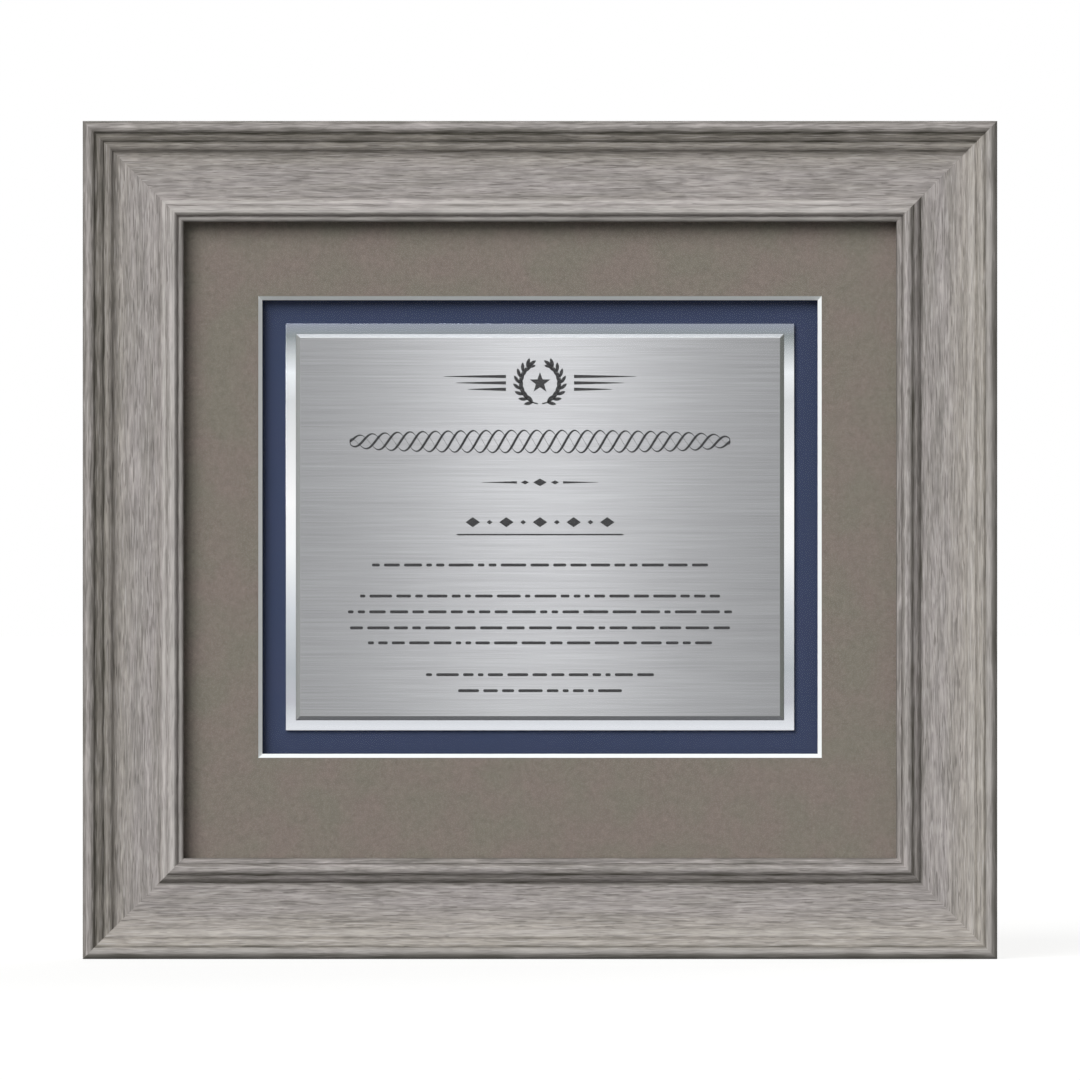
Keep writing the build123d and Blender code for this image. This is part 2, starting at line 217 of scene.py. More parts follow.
def wander(places, seed, lengths):
    """A slow wave of about -1 to 1 at some places along a line.

    The formula is the sum of one sine for each wavelength, whose phases are drawn from the seed, divided by
    the root of the number of sines.
    """
    phases = np.random.default_rng(seed).uniform(0, 2 * np.pi, len(lengths))
    waves = np.sin(2 * np.pi * places[..., None] / lengths + phases)
    return waves.sum(-1) / np.sqrt(len(lengths))


def smooth_step(value):
    """Zero below 0, one above 1, and three squares less two cubes between."""
    value = np.clip(value, 0, 1)
    return value * value * (3 - 2 * value)


def close_to(across, share, spread):
    """e to the minus square of the distance, counted in spreads, from a share of the face's width."""
    return np.exp(-(((across - share * FACE_WIDTH) / spread) ** 2))


def circle(angles):
    """Points of a circle of radius one: the cosine and the sine of each angle."""
    return np.stack([np.cos(angles), np.sin(angles)], -1)


def arc_points(start, through, end, step):
    """Points on the circle through three points, evenly spaced by angle, without the first one.

    The centre's product with the chord from the start to another point is half the difference of the two
    points' squares, which for both chords together gives the centre.
    """
    points = np.array([start, through, end])
    chords = points[1:] - points[0]
    squares = (points**2).sum(1)
    centre = np.linalg.solve(chords, (squares[1:] - squares[0]) / 2)
    first, middle, last = np.arctan2(*(points - centre).T[::-1])
    turn = np.mod(last - first, 2 * np.pi)
    if np.mod(middle - first, 2 * np.pi) > turn:
        turn -= 2 * np.pi
    radius = np.linalg.norm(points[0] - centre)
    count = int(np.ceil(abs(turn) * radius / step))
    return centre + radius * circle(first + turn * np.arange(1, count + 1) / count)


def line_points(start, end, step):
    """Points on a straight line, evenly spaced, without the first one."""
    start, end = np.array(start), np.array(end)
    count = max(1, int(np.ceil(np.linalg.norm(end - start) / step)))
    return start + (end - start) * np.arange(1, count + 1)[:, None] / count


def crown_middle(crown, end):
    """The middle of the arc that is level at the crown and ends at a lower point.

    The arc's radius is the sum of the squares of its width and drop, over twice the drop, and its centre
    lies that far under the crown. The middle is the radius in the mean of the two ends' directions.
    """
    crown, end = np.array(crown), np.array(end)
    radius = ((end - crown) ** 2).sum() / (2 * (crown[1] - end[1]))
    centre = crown - [0, radius]
    middle = (crown - centre) + (end - centre)
    return centre + middle * radius / np.linalg.norm(middle)


def surface(name, grids, textures=None, values=None, caps=True):
    """A closed mesh over grids of points: four-sided faces, with each grid's first and last row capped.

    A grid that closes on itself repeats its first row or column, and the doubles are merged afterwards.
    textures are grids of two texture coordinates, and values are grids of one number for each point.
    """
    faces, start = [], 0
    for points in grids:
        rows, columns = points.shape[:2]
        index = start + np.arange(rows * columns).reshape(rows, columns)
        quads = np.stack([index[:-1, :-1], index[:-1, 1:], index[1:, 1:], index[1:, :-1]], -1)
        faces += quads.reshape(-1, 4).tolist()
        if caps:
            faces += [index[0, :-1].tolist(), index[-1, :-1].tolist()]
        start += rows * columns
    mesh = bpy.data.meshes.new(name)
    mesh.from_pydata(np.vstack([points.reshape(-1, 3) for points in grids]).tolist(), [], faces)
    corners = np.empty(len(mesh.loops), np.int32)
    mesh.loops.foreach_get("vertex_index", corners)
    if textures is not None:
        layer = mesh.uv_layers.new(name="grain")
        flat = np.vstack([texture.reshape(-1, 2) for texture in textures])
        layer.data.foreach_set("uv", flat[corners].astype(np.float32).ravel())
    for label, grid in (values or {}).items():
        attribute = mesh.attributes.new(label, "FLOAT", "POINT")
        attribute.data.foreach_set("value", grid.astype(np.float32).ravel())
    return mesh


def finish_mesh(mesh, sharp=35.0, merge=1e-7):
    """Merges doubles, turns the faces outwards and shades all smooth but edges sharper than an angle."""
    work = bmesh.new()
    work.from_mesh(mesh)
    bmesh.ops.remove_doubles(work, verts=work.verts, dist=merge)
    bmesh.ops.recalc_face_normals(work, faces=work.faces)
    work.to_mesh(mesh)
    work.free()
    mesh.polygons.foreach_set("use_smooth", [True] * len(mesh.polygons))
    mesh.set_sharp_from_angle(angle=np.radians(sharp))
    mesh.update()


def add_object(name, data):
    """An object in the scene, at the origin."""
    made = bpy.data.objects.new(name, data)
    bpy.context.scene.collection.objects.link(made)
    return made


def place(name, mesh, body, slot, materials, *stands_for):
    """Makes the piece's object, which sits at the origin, puts it on the body that it rides on and hides
    the CAD parts that it stands for.
    """
    piece = add_object(name, mesh)
    for material in materials:
        mesh.materials.append(material)
    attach(piece, body)
    if stands_for:
        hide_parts(*stands_for)
    return piece


def carved_face():
    """The carved face from its outer edge, as rows of the distance across and the height over the sight."""
    size = np.array([FACE_WIDTH, RELIEF])
    edge, crown, groove = size * outer_edge_share, size * outer_crown_share, size * outer_groove_share
    points = [[edge]]
    points.append(arc_points(edge, crown_middle(crown, edge), crown, FACE_STEP))
    points.append(arc_points(crown, crown_middle(crown, groove), groove, FACE_STEP))
    start = groove
    for through, end in carved_shares:
        end = size * end
        if through:
            points.append(arc_points(start, size * through, end, FACE_STEP))
        else:
            points.append(line_points(start, end, FACE_STEP))
        start = end
    return np.vstack(points)


def rail_section(face, wall, rails_back):
    """The rail's closed section, as rows of the distance in from its outer side and the place along Y.

    The carved face is followed by the lip's side, the rabbet's ledge and wall, the back and the outer side.
    The rabbet and the back are sawn, which the second result says of each stretch between two rows.
    """
    glass_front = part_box("glass_pane")[0][1]
    sight_y = glass_front - LIP
    corners = [(FACE_WIDTH, sight_y), (FACE_WIDTH, glass_front), (wall, glass_front)]
    corners += [(wall, rails_back), (0, rails_back), (0, sight_y - face[0, 1])]
    sides = [line_points(start, end, SIDE_STEP) for start, end in zip(corners, corners[1:])]
    section = np.vstack([np.stack([face[:, 0], sight_y - face[:, 1]], -1), *sides])
    sawn = np.ones(len(section) - 1, bool)
    sawn[: len(face) - 1 + len(sides[0])] = False
    sawn[len(sawn) - len(sides[-1]) :] = False
    return section, sawn


def hollows(face):
    """How far each point of the face lies below the mean level about it, weighed by a cosine window."""
    span = int(HOLLOW_SPAN / FACE_STEP)
    level = np.interp(np.arange(-span, len(face) + span), np.arange(len(face)), face[:, 1])
    window = np.hanning(2 * span + 3)[1:-1]
    return np.convolve(level, window / window.sum(), "valid") - face[:, 1]


def rail_finish(across, hollow, on_face, wiped, lit_side):
    """Where the glaze, the soil and the rubbing lie on a rail, and each point's share of the face's width.

    The glaze is the depth of the hollow or that of the dark lines, whichever is more, and the rubbing is
    the height of the crest or the strength of the pale lines, both times the unevenness of the wiping.
    The last argument, from -1 to 1, carries painted light: it is 1 on the upper and left rails, which face
    the key lamp, and -1 on the lower and right ones. By deepening or thinning the glaze and the rubbing it
    puts painted shade on the outer beads and a painted highlight on the step at the sight edge of the upper
    and left rails, and the reverse on the others. It also paints the outer edge's soil lighter on the upper
    and left rails and adds painted shade along the outer edge of the lower and right ones. The soil is a
    sum of depths that fade out from the edges.
    """
    lines, pale_lines = np.zeros((2, *across.shape))
    for drawn, chosen in ((lines, glaze_lines), (pale_lines, rubbed_lines)):
        for share, spread, depth in chosen:
            drawn += depth * close_to(across, share, spread * MM)
    to_step = 2 * smooth_step(across / FACE_WIDTH * 2 - 0.5) - 1
    glaze_and_painted_light = np.maximum(hollow / FULL_HOLLOW, lines * on_face) * wiped
    rubbed_and_painted_light = np.clip(np.maximum(-hollow / FULL_CREST, pale_lines * on_face) * wiped, 0, 1)
    # Painted shade: the outer edge's soil is deeper and wider on the lower and right rails and lighter on
    # the upper and left ones, and the lower and right rails get a further band of painted shade
    edge_width = EDGE_SOIL_WIDTH * (1 - EDGE_SOIL_WIDTH_PAINTED_LIGHT * lit_side)
    soil_and_painted_light = EDGE_SOIL * (1 - EDGE_SOIL_PAINTED_LIGHT * lit_side) * smooth_step((edge_width - across) / EDGE_SOIL_FADE)
    soil_and_painted_light += PAINTED_EDGE_SHADE * max(0, -lit_side) * smooth_step((PAINTED_EDGE_SHADE_WIDTH - across) / PAINTED_EDGE_SHADE_FADE)
    soil_and_painted_light += SIGHT_SOIL * smooth_step((across - FACE_WIDTH + SIGHT_SOIL_WIDTH) / SIGHT_SOIL_FADE)
    return {
        "glaze_and_painted_light": np.clip(glaze_and_painted_light * (1 - GLAZE_PAINTED_LIGHT * lit_side * to_step), 0, 1),
        "soil_and_painted_light": soil_and_painted_light,
        "rubbed_and_painted_light": rubbed_and_painted_light * (1 + RUB_PAINTED_LIGHT * lit_side * to_step),
        "across": across / FACE_WIDTH,
    }


def make_rail(name, outward, along, lit_side, seed, materials):
    """One rail, its section carried from mitre to mitre.

    A point of the section lies some way in from the outer edge. A station, from -1 to 1, puts it at that
    share of the rail's half length at that depth, so that both ends lie on the 45 degree mitres. Near an
    edge of a bead the point shifts across by a slow wander, and the crests wear down by the square of
    another, both faded out at the mitres. The grain's map is the way round the section and the place along
    the rail, moved on from rail to rail.
    """
    reach, half = abs(outward @ FRAME_HALF), abs(along @ FRAME_HALF)
    wall = reach - abs(outward @ SHEET_HALF) - SHEET_CLEARANCE
    face = carved_face()
    section, sawn = rail_section(face, wall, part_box(name)[1][1] - NAIL_PROUD)
    stations = np.linspace(-1, 1, int(2 * half / STATION_STEP) + 1)[:, None]
    across = np.broadcast_to(section[:, 0], (len(stations), len(section)))
    position = stations * (half - across)
    first_seed = seed * SEEDS_A_RAIL

    hollow, on_face = np.zeros((2, len(section)))
    hollow[: len(face)] = hollows(face)
    on_face[: len(face)] = smooth_step(np.minimum(face[:, 0], FACE_WIDTH - face[:, 0]) / FACE_FADE)
    fade = smooth_step((half - across - np.abs(position)) / MITRE_FADE)
    shift = np.zeros(across.shape)
    for k, share in enumerate(wavering_edge_shares):
        near = close_to(across, share, WAVER_SPREAD)
        shift += near * WAVER * wander(position, first_seed + k, WAVER_LENGTHS)
    worn = np.clip(-hollow / FULL_CREST, 0, 1)
    worn = worn * wander(position, first_seed + WEAR_SEED, WAVER_LENGTHS) ** 2
    depth = section[:, 1] + WEAR * np.clip(worn, 0, 1) * fade
    shifted = across + shift * fade * on_face
    position = stations * (half - shifted)

    points = FRAME_MIDDLE + (reach - shifted)[..., None] * outward + position[..., None] * along
    points = points + depth[..., None] * BACKWARDS
    length = np.concatenate([[0], np.cumsum(np.linalg.norm(np.diff(section, axis=0), axis=1))])
    texture = np.stack([np.broadcast_to(length, across.shape), position + 2 * seed * half], -1)
    wiped = 1 + UNEVEN_WIPE * wander(position, first_seed + WIPE_SEED, WAVER_LENGTHS * 2)
    values = rail_finish(across, hollow, on_face, wiped, lit_side)
    mesh = surface(name + "_moulding", [points], [texture], values)
    finish = np.append(np.tile(sawn, len(stations) - 1), [1, 1]).astype(np.int32)
    mesh.polygons.foreach_set("material_index", finish)
    finish_mesh(mesh, 40)
    return place(name + "_moulding", mesh, "frame", "weathered_wood", materials, name)


# Weathered grey paint over wood: open grain that is brushed along the rail, a matt wash with a faint sheen
# where it was rubbed, and a dark glaze left in the hollows. The grain is in layers of streaks, and the wash
# has an olive cast from the outer beads to the middle of the face.
RUBBED_SHARE = 0.42  # of the pale wash that the hardest rubbing laid bare
wood, tree, shader = new_material("weathered_wood_washed_and_rubbed")
grain = add_node(tree, "UVMap", {}, uv_map="grain")
# The glaze, rubbing and soil attributes carry real glaze, wear and soil together with painted light and
# painted shade that differ between the rails that face the key lamp and those that face away
glaze_and_painted_light, rubbed_and_painted_light, soil_and_painted_light, across = (
    add_node(tree, "Attribute", {}, output="Fac", attribute_name=label)
    for label in ("glaze_and_painted_light", "rubbed_and_painted_light", "soil_and_painted_light", "across")
)
# The layers of the grain: each one's width and length of streak, its detail, its turn and its warp
patches = streaks(tree, grain, 5 * MM, 70 * MM, 3)
bands = streaks(tree, grain, 1.6 * MM, 24 * MM, 4, 3.1, 0.9)
fibres = streaks(tree, grain, 0.45 * MM, 8 * MM, 3, 7.7)
clouds = streaks(tree, grain, 3.0 * MM, 13 * MM, 3, 31.7, 1.2)
dashes = streaks(tree, grain, 0.55 * MM, 12 * MM, 1, 12.3, 0.5)
pale_streaks = streaks(tree, grain, 0.6 * MM, 16 * MM, 2, 20.1)

wash = add_node(tree, "ValToRGB", {"Fac": patches}, [(0.36, "#938E8A"), (0.64, "#A19B99")])
olive_stops = [(0.08, 0.0), (0.13, 0.7), (0.36, 0.4), (0.52, 0.0)]
olive_part = add_node(tree, "ValToRGB", {"Fac": across}, olive_stops)
olive = {"Factor": olive_part, 6: wash, 7: linear("#9E988E")}
olive = add_node(tree, "Mix", olive, output=2, data_type="RGBA")
shown = lightened(tree, olive, (bands, 0.74, 1.20), (fibres, 0.86, 1.11), (clouds, 0.84, 1.16))
limits = {"Value": pale_streaks, "From Min": 0.56, "From Max": 0.68, "To Max": 0.55}
pale_part = add_node(tree, "MapRange", limits)
pore = add_node(tree, "MapRange", {"Value": dashes, "From Min": 0.60, "From Max": 0.67, "To Max": 0.6})
# The soil and the glaze took unevenly, deeper where the streaks are dark
limits = {"Value": bands, "From Min": 0.3, "From Max": 0.7, "To Min": 1.5, "To Max": 0.5}
depths = {0: soil_and_painted_light, 1: add_node(tree, "MapRange", limits)}
soil_depth = add_node(tree, "Math", depths, operation="MULTIPLY")
limits = {"Value": pale_streaks, "From Min": 0.35, "From Max": 0.65, "To Min": 1.1, "To Max": 0.45}
depths = {0: glaze_and_painted_light, 1: add_node(tree, "MapRange", limits), 2: soil_depth}
glaze_depth = add_node(tree, "Math", depths, operation="MULTIPLY_ADD", use_clamp=True)
rub_depth = add_node(tree, "Math", {0: rubbed_and_painted_light, 1: RUBBED_SHARE}, operation="MULTIPLY")
coats = [(pale_part, "#BDB8B6"), (pore, "#5E5955"), (glaze_depth, "#45423A"), (rub_depth, "#CBC7C3")]
for depth, colour in coats:
    coat = {"Factor": depth, 6: shown, 7: linear(colour)}
    shown = add_node(tree, "Mix", coat, output=2, data_type="RGBA")
rough = add_node(tree, "MapRange", {"Value": bands, "To Min": 0.58, "To Max": 0.78})
relief = add_node(tree, "Math", {0: bands, 1: pore}, operation="SUBTRACT")
relief = add_node(tree, "Math", {0: relief, 1: fibres}, operation="ADD")
bump = add_node(tree, "Bump", {"Height": relief, "Distance": 0.12 * MM, "Strength": 0.7})
connect(tree, shader, {"Base Color": shown, "Roughness": rough, "Normal": bump, "Specular IOR Level": 0.3})

# The rabbet and the back are left as sawn: bare pale wood with a plain grain.
raw_wood, tree, shader = new_material("sawn_bare_wood")
grain = add_node(tree, "UVMap", {}, uv_map="grain")
rings = streaks(tree, grain, 2.2 * MM, 120 * MM, 3)
fibres = streaks(tree, grain, 0.4 * MM, 12 * MM, 3, 5.0)
tint = add_node(tree, "ValToRGB", {"Fac": rings}, [(0.35, "#A98E68"), (0.65, "#CDB68E")])
sawn = lightened(tree, tint, (fibres, 0.86, 1.08))
bump = add_node(tree, "Bump", {"Height": fibres, "Distance": 0.1 * MM, "Strength": 0.6})
connect(tree, shader, {"Base Color": sawn, "Roughness": 0.72, "Normal": bump})

# The last number of each rail is its side for the painted light: 1 for the upper and left rails, which face
# the key lamp, and -1 for the lower and right ones
rails = [
    ("top_rail", UP, RIGHT, 1),
    ("bottom_rail", -UP, RIGHT, -1),
    ("left_rail", -RIGHT, UP, 1),
    ("right_rail", RIGHT, UP, -1),
]
for seed, (name, outward, along, lit_side) in enumerate(rails, 1):
    make_rail(name, outward, along, lit_side, seed, [wood, raw_wood])

# Corner nails
# V-shaped nails of thin spring steel, punched across the backs of the mitres until they are flush. They
# are dull grey with the dark haze that hardening leaves.
def dress(name, material):
    """Gives a CAD node its finish."""
    nodes[name].data.materials.clear()
    nodes[name].data.materials.append(material)


nail_steel, tree, shader = new_material("spring_steel_hardened")
place_in = add_node(tree, "TexCoord", {}, output="Object")
haze = add_node(tree, "TexNoise", {"Vector": place_in, "Scale": 1 / (1.5 * MM), "Detail": 3})
tone = add_node(tree, "ValToRGB", {"Fac": haze}, [(0.0, "#5E6064"), (1.0, "#8D8F92")])
connect(tree, shader, {"Base Color": tone, "Metallic": 1.0, "Roughness": 0.45})
dress("corner_v_nails", nail_steel)

# Picture glass
# A pane of clear float glass in the rabbet, with the thin coating that picture glass has against glare. It
# shows a faint sheen and lets all the light through.
COATING_SHARE = 0.10  # of plain glass's reflection that the coating leaves
glass, tree, shader = new_material("float_glass_coated_against_glare")
tree.nodes.remove(shader)
edge_on = add_node(tree, "Fresnel", {"IOR": 1.5})
inside = add_node(tree, "NewGeometry", {}, output="Backfacing")
outside = add_node(tree, "Math", {0: 1.0, 1: inside}, operation="SUBTRACT")
sheen = add_node(tree, "Math", {0: edge_on, 1: outside}, operation="MULTIPLY")
sheen = add_node(tree, "Math", {0: sheen, 1: COATING_SHARE}, operation="MULTIPLY")
clear = add_node(tree, "BsdfTransparent", {"Color": linear("#FFFFFF")})
gloss = add_node(tree, "BsdfGlossy", {"Color": linear("#FFFFFF"), "Roughness": 0.12})
mixed = add_node(tree, "MixShader", {0: sheen, 1: clear, 2: gloss})
connect(tree, tree.nodes["Material Output"], {"Surface": mixed})
dress("glass_pane", glass)

# Window mat
# Solid board with a taupe paper face, whose window was cut with a bevel cutter, so its slope shows the
# board's white core as a bright line. The face has the faint clouds and the speckle of pulp paper, which is
# drawn coarser than the real fibres so that it shows.
mat_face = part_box("window_mat")[0][1]
PAPER_END, CORE_START = 0.02 * MM, 0.06 * MM  # how far behind the face the cut shows each
mat_board, tree, shader = new_material("mat_board_taupe_paper_bevel_cut")
place_in = add_node(tree, "TexCoord", {}, output="Object")
clouds = add_node(tree, "TexNoise", {"Vector": place_in, "Scale": 1 / (24 * MM), "Detail": 4})
grit = {"Vector": place_in, "Scale": 1 / (0.9 * MM), "Detail": 3, "Roughness": 0.7}
speckle = add_node(tree, "TexNoise", grit)
grit = {"Vector": place_in, "Scale": 1 / (3.2 * MM), "Detail": 5, "Roughness": 0.75}
fleck = add_node(tree, "TexNoise", grit)
tint = add_node(tree, "ValToRGB", {"Fac": clouds}, [(0.38, "#7B766C"), (0.62, "#7F756E")])
paper = lightened(tree, tint, (speckle, 0.86, 1.14), (fleck, 0.9, 1.1))
depth_in = add_node(tree, "SeparateXYZ", {0: place_in}, output="Y")
limits = {"Value": depth_in, "From Min": mat_face + PAPER_END, "From Max": mat_face + CORE_START}
cut = add_node(tree, "MapRange", limits)
shown = add_node(tree, "Mix", {"Factor": cut, 6: paper, 7: linear("#EAEDED")}, output=2, data_type="RGBA")
bump = add_node(tree, "Bump", {"Height": speckle, "Distance": 0.06 * MM, "Strength": 0.5})
connect(tree, shader, {"Base Color": shown, "Roughness": 0.92, "Specular IOR Level": 0.15, "Normal": bump})
dress("window_mat", mat_board)

# Spacer strips
# Four strips of foam board behind the mat, which hold it off the plaque. White card faces and a white foam
# core with small open cells on the cut edges.
foam_board, tree, shader = new_material("foam_board_knife_cut")
place_in = add_node(tree, "TexCoord", {}, output="Object")
cells = add_node(tree, "TexVoronoi", {"Vector": place_in, "Scale": 1 / (0.6 * MM)})
bump = add_node(tree, "Bump", {"Height": cells, "Distance": 0.08 * MM, "Strength": 0.5})
shade = add_node(tree, "ValToRGB", {"Fac": cells}, [(0.0, "#E2E2DE"), (1.0, "#F1F1EE")])
connect(tree, shader, {"Base Color": shade, "Roughness": 0.85, "Normal": bump})
for side in ("top", "bottom", "left", "right"):
    dress("spacer_strip_" + side, foam_board)

# Plaque board
# The board that the plaque is stuck to. It is faced with a matt navy paper, glued on flat, which has a fine
# tooth and the faintest clouds.
navy, tree, shader = new_material("navy_paper_on_board")
place_in = add_node(tree, "TexCoord", {}, output="Object")
grit = {"Vector": place_in, "Scale": 1 / (0.7 * MM), "Detail": 3, "Roughness": 0.7}
tooth = add_node(tree, "TexNoise", grit)
clouds = add_node(tree, "TexNoise", {"Vector": place_in, "Scale": 1 / (30 * MM), "Detail": 3})
tint = add_node(tree, "ValToRGB", {"Fac": clouds}, [(0.0, "#323E58"), (1.0, "#39405B")])
toothed = lightened(tree, tint, (tooth, 0.88, 1.12))
bump = add_node(tree, "Bump", {"Height": tooth, "Distance": 0.05 * MM, "Strength": 0.5})
connect(tree, shader, {"Base Color": toothed, "Roughness": 0.9, "Specular IOR Level": 0.2, "Normal": bump})
dress("plaque_board", navy)

# Pads and tapes
# Squares of double-sided foam tape under the base plate, and two strips of thin tape between the plates.
# Both are off-white foam with small closed cells, and are pressed on.
foam_tape, tree, shader = new_material("foam_tape_pressed")
place_in = add_node(tree, "TexCoord", {}, output="Object")
cells = add_node(tree, "TexNoise", {"Vector": place_in, "Scale": 1 / (0.5 * MM), "Detail": 2})
shade = add_node(tree, "ValToRGB", {"Fac": cells}, [(0.0, "#CFCDC2"), (1.0, "#E6E4DA")])
bump = add_node(tree, "Bump", {"Height": cells, "Distance": 0.05 * MM, "Strength": 0.5})
connect(tree, shader, {"Base Color": shade, "Roughness": 0.8, "Normal": bump})
dress("plaque_foam_pads", foam_tape)
dress("plaque_tapes", foam_tape)

# Base plate
# A sheet of polished aluminium, whose edges were broken with a file. Only its rim shows, as a bright line
# round the face plate.
PLATE_EASE = 0.05 * MM
# Painted reflection in the colour, from the plate's top to its foot: a dull bluish-grey top, then bright
# and duller bands further down
painted_reflection_by_height = [
    (0.0, "#949AA8"),
    (0.03, "#8F9698"),
    (0.12, "#ECF0F3"),
    (0.19, "#D8DBDD"),
    (0.44, "#FAFAFA"),
    (0.56, "#F1F3F5"),
    (0.71, "#CED2D8"),
    (0.85, "#B4B9BE"),
    (0.93, "#BCBEC5"),
    (0.99, "#DCDFE5"),
]


def stand_up(flat, depth):
    """Points in space for places on the front's plane, which give X and Z, at a depth along Y."""
    return np.stack([flat[..., 0], np.broadcast_to(depth, flat.shape[:-1]), flat[..., 1]], -1)


def slab(name, profile):
    """A rectangular slab over a CAD node's box, closed front and back.

    Each row of the profile gives how far in from the box's sides a ring of four corners lies, and how far
    back from its front. Rings follow each other from the back edge, over the front edge, to the front.
    """
    low, high = (np.array(corner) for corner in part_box(name))
    corners = np.array([(-1, -1), (1, -1), (1, 1), (-1, 1), (-1, -1)])
    middle, half = (low + high)[[0, 2]] / 2, (high - low)[[0, 2]] / 2
    inset, back = np.array(profile).T
    flat = middle + corners * (half - inset[:, None])[:, None]
    return surface(name + "_sheet", [stand_up(flat, low[1] + back[:, None])], [flat])


plate_low, plate_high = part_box("plaque_base_plate")
# The filed edge is a quarter round: in by one less the cosine, and back by one less the sine.
eased = PLATE_EASE * (1 - circle(np.linspace(0, np.pi / 2, 4)))
mesh = slab("plaque_base_plate", [(0, plate_high[1] - plate_low[1]), *eased])
finish_mesh(mesh, 50)
polished, tree, shader = new_material("aluminium_sheet_polished")
place_in = add_node(tree, "TexCoord", {}, output="Object")
buff = streaks(tree, place_in, 6 * MM, 0.8 * MM, 3)
height_in = add_node(tree, "SeparateXYZ", {0: place_in}, output="Z")
down = add_node(tree, "MapRange", {"Value": height_in, "From Min": plate_high[2], "From Max": plate_low[2]})
# Painted reflection: the colour follows the plate's height
tone = add_node(tree, "ValToRGB", {"Fac": down}, painted_reflection_by_height)
rough = add_node(tree, "MapRange", {"Value": buff, "To Min": 0.04, "To Max": 0.10})
connect(tree, shader, {"Base Color": tone, "Metallic": 1.0, "Roughness": rough})
place("plaque_base_plate_sheet", mesh, "frame", "polished_plate", [polished], "plaque_base_plate")

# Face plate
# A thicker aluminium plate, milled with a bevel all round and brushed from side to side. The brushing
# spreads light upright, so the plate is brighter down its middle and greyer at both ends. Its lines are
# finer than a tenth of a millimetre, and are drawn several times as coarse so that they show.
BEVEL_WIDTH = 2.0 * MM
BEVEL_DEPTH = 0.9 * MM
BEVEL_EASE = 0.12 * MM
plate_low, plate_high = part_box("plaque_face_plate")
bevel_profile = [
    (0, plate_high[1] - plate_low[1]),
    (0, BEVEL_DEPTH + BEVEL_EASE),
    (BEVEL_EASE, BEVEL_DEPTH - BEVEL_EASE / 2),
    (BEVEL_WIDTH - BEVEL_EASE, BEVEL_EASE / 2),
    (BEVEL_WIDTH + BEVEL_EASE, 0),
]
mesh = slab("plaque_face_plate", bevel_profile)
finish_mesh(mesh, 12)
bevelled = np.zeros(len(mesh.polygons), np.int32)
bevelled[: 4 * (len(bevel_profile) - 1)] = 1
mesh.polygons.foreach_set("material_index", bevelled)

brushed, tree, shader = new_material("aluminium_plate_brushed")
grain = add_node(tree, "UVMap", {}, uv_map="grain")
tangent = add_node(tree, "Tangent", {}, direction_type="UV_MAP", uv_map="grain")
lines = streaks(tree, grain, 45 * MM, 0.45 * MM, 4)
long_lines = streaks(tree, grain, 160 * MM, 1.6 * MM, 3, 4.4)
metal = lightened(tree, linear("#939496")[:3], (lines, 0.88, 1.1), (long_lines, 0.94, 1.05))
rough = add_node(tree, "MapRange", {"Value": lines, "To Min": 0.35, "To Max": 0.41})
bump = add_node(tree, "Bump", {"Height": lines, "Distance": 0.01 * MM, "Strength": 0.3})
connect(tree, shader, {"Base Color": metal, "Metallic": 1.0, "Roughness": rough, "Normal": bump})
connect(tree, shader, {"Anisotropic": 1.0, "Anisotropic Rotation": 0.25, "Tangent": tangent})

# The milled bevel has fine chatter, and painted light in its colour: the sides that lean up and to the left
# are painted lighter and its right and lower sides painted darker, as the key lamp would light and shade
# them.
PAINTED_LIGHT_WAY = (-0.45, 0, 1)  # the more a side leans this way, the lighter it is painted
bright_cut, tree, shader = new_material("aluminium_bevel_milled")
place_in = add_node(tree, "TexCoord", {}, output="Object")
chatter = add_node(tree, "TexNoise", {"Vector": place_in, "Scale": 1 / (0.6 * MM), "Detail": 2})
facing = {0: add_node(tree, "TexCoord", {}, output="Normal"), 1: PAINTED_LIGHT_WAY}
lean = add_node(tree, "VectorMath", facing, output="Value", operation="DOT_PRODUCT")
painted_lean_light = add_node(tree, "MapRange", {"Value": lean, "From Min": -0.41, "From Max": 0.41})
bevel_painted_light_stops = [(0.0, "#66676B"), (0.27, "#686B68"), (0.73, "#7B7D7C"), (1.0, "#7B7E81")]
# Painted light: the bevel's colour follows how far each side leans up and to the left
tone = add_node(tree, "ValToRGB", {"Fac": painted_lean_light}, bevel_painted_light_stops)
rough = add_node(tree, "MapRange", {"Value": chatter, "To Min": 0.32, "To Max": 0.42})
connect(tree, shader, {"Base Color": tone, "Metallic": 1.0, "Roughness": rough})
place("plaque_face_plate_sheet", mesh, "frame", "brushed_plate", [brushed, bright_cut], "plaque_face_plate")

# Engraving
# Shallow engraving on the face plate, filled with black enamel: a laurel wreath round a star, a band of
# interlaced waves, a small divider, a row of lozenges over a rule, and seven rows of plain bars.
INFILL_STAND = 0.03 * MM
BLUNT_TIP = 0.01 * MM  # half the width that is left of a tip, so that no face is without area
RULE_TIP = 0.08 * MM
face_y = plate_low[1]
face_middle = (np.array(plate_low) + plate_high)[[0, 2]] / 2


def ribbon(path, half_width):
    """A thin closed strip on the face plate along a path, as wide each side as half_width says there.

    path holds places from the plate's middle. Each point is put out to both sides along the normal, which
    is the path's direction turned by a right angle, at the plate's face and a little in front of it.
    """
    direction = np.gradient(path, axis=0)
    normal = np.stack([-direction[:, 1], direction[:, 0]], -1)
    normal /= np.linalg.norm(normal, axis=1)[:, None]
    sides = np.array([-1, -1, 1, 1, -1])
    stand = np.array([0, 1, 1, 0, 0]) * INFILL_STAND
    flat = face_middle + path[:, None] + normal[:, None] * (half_width[:, None] * sides)[..., None]
    return stand_up(flat, face_y - stand)


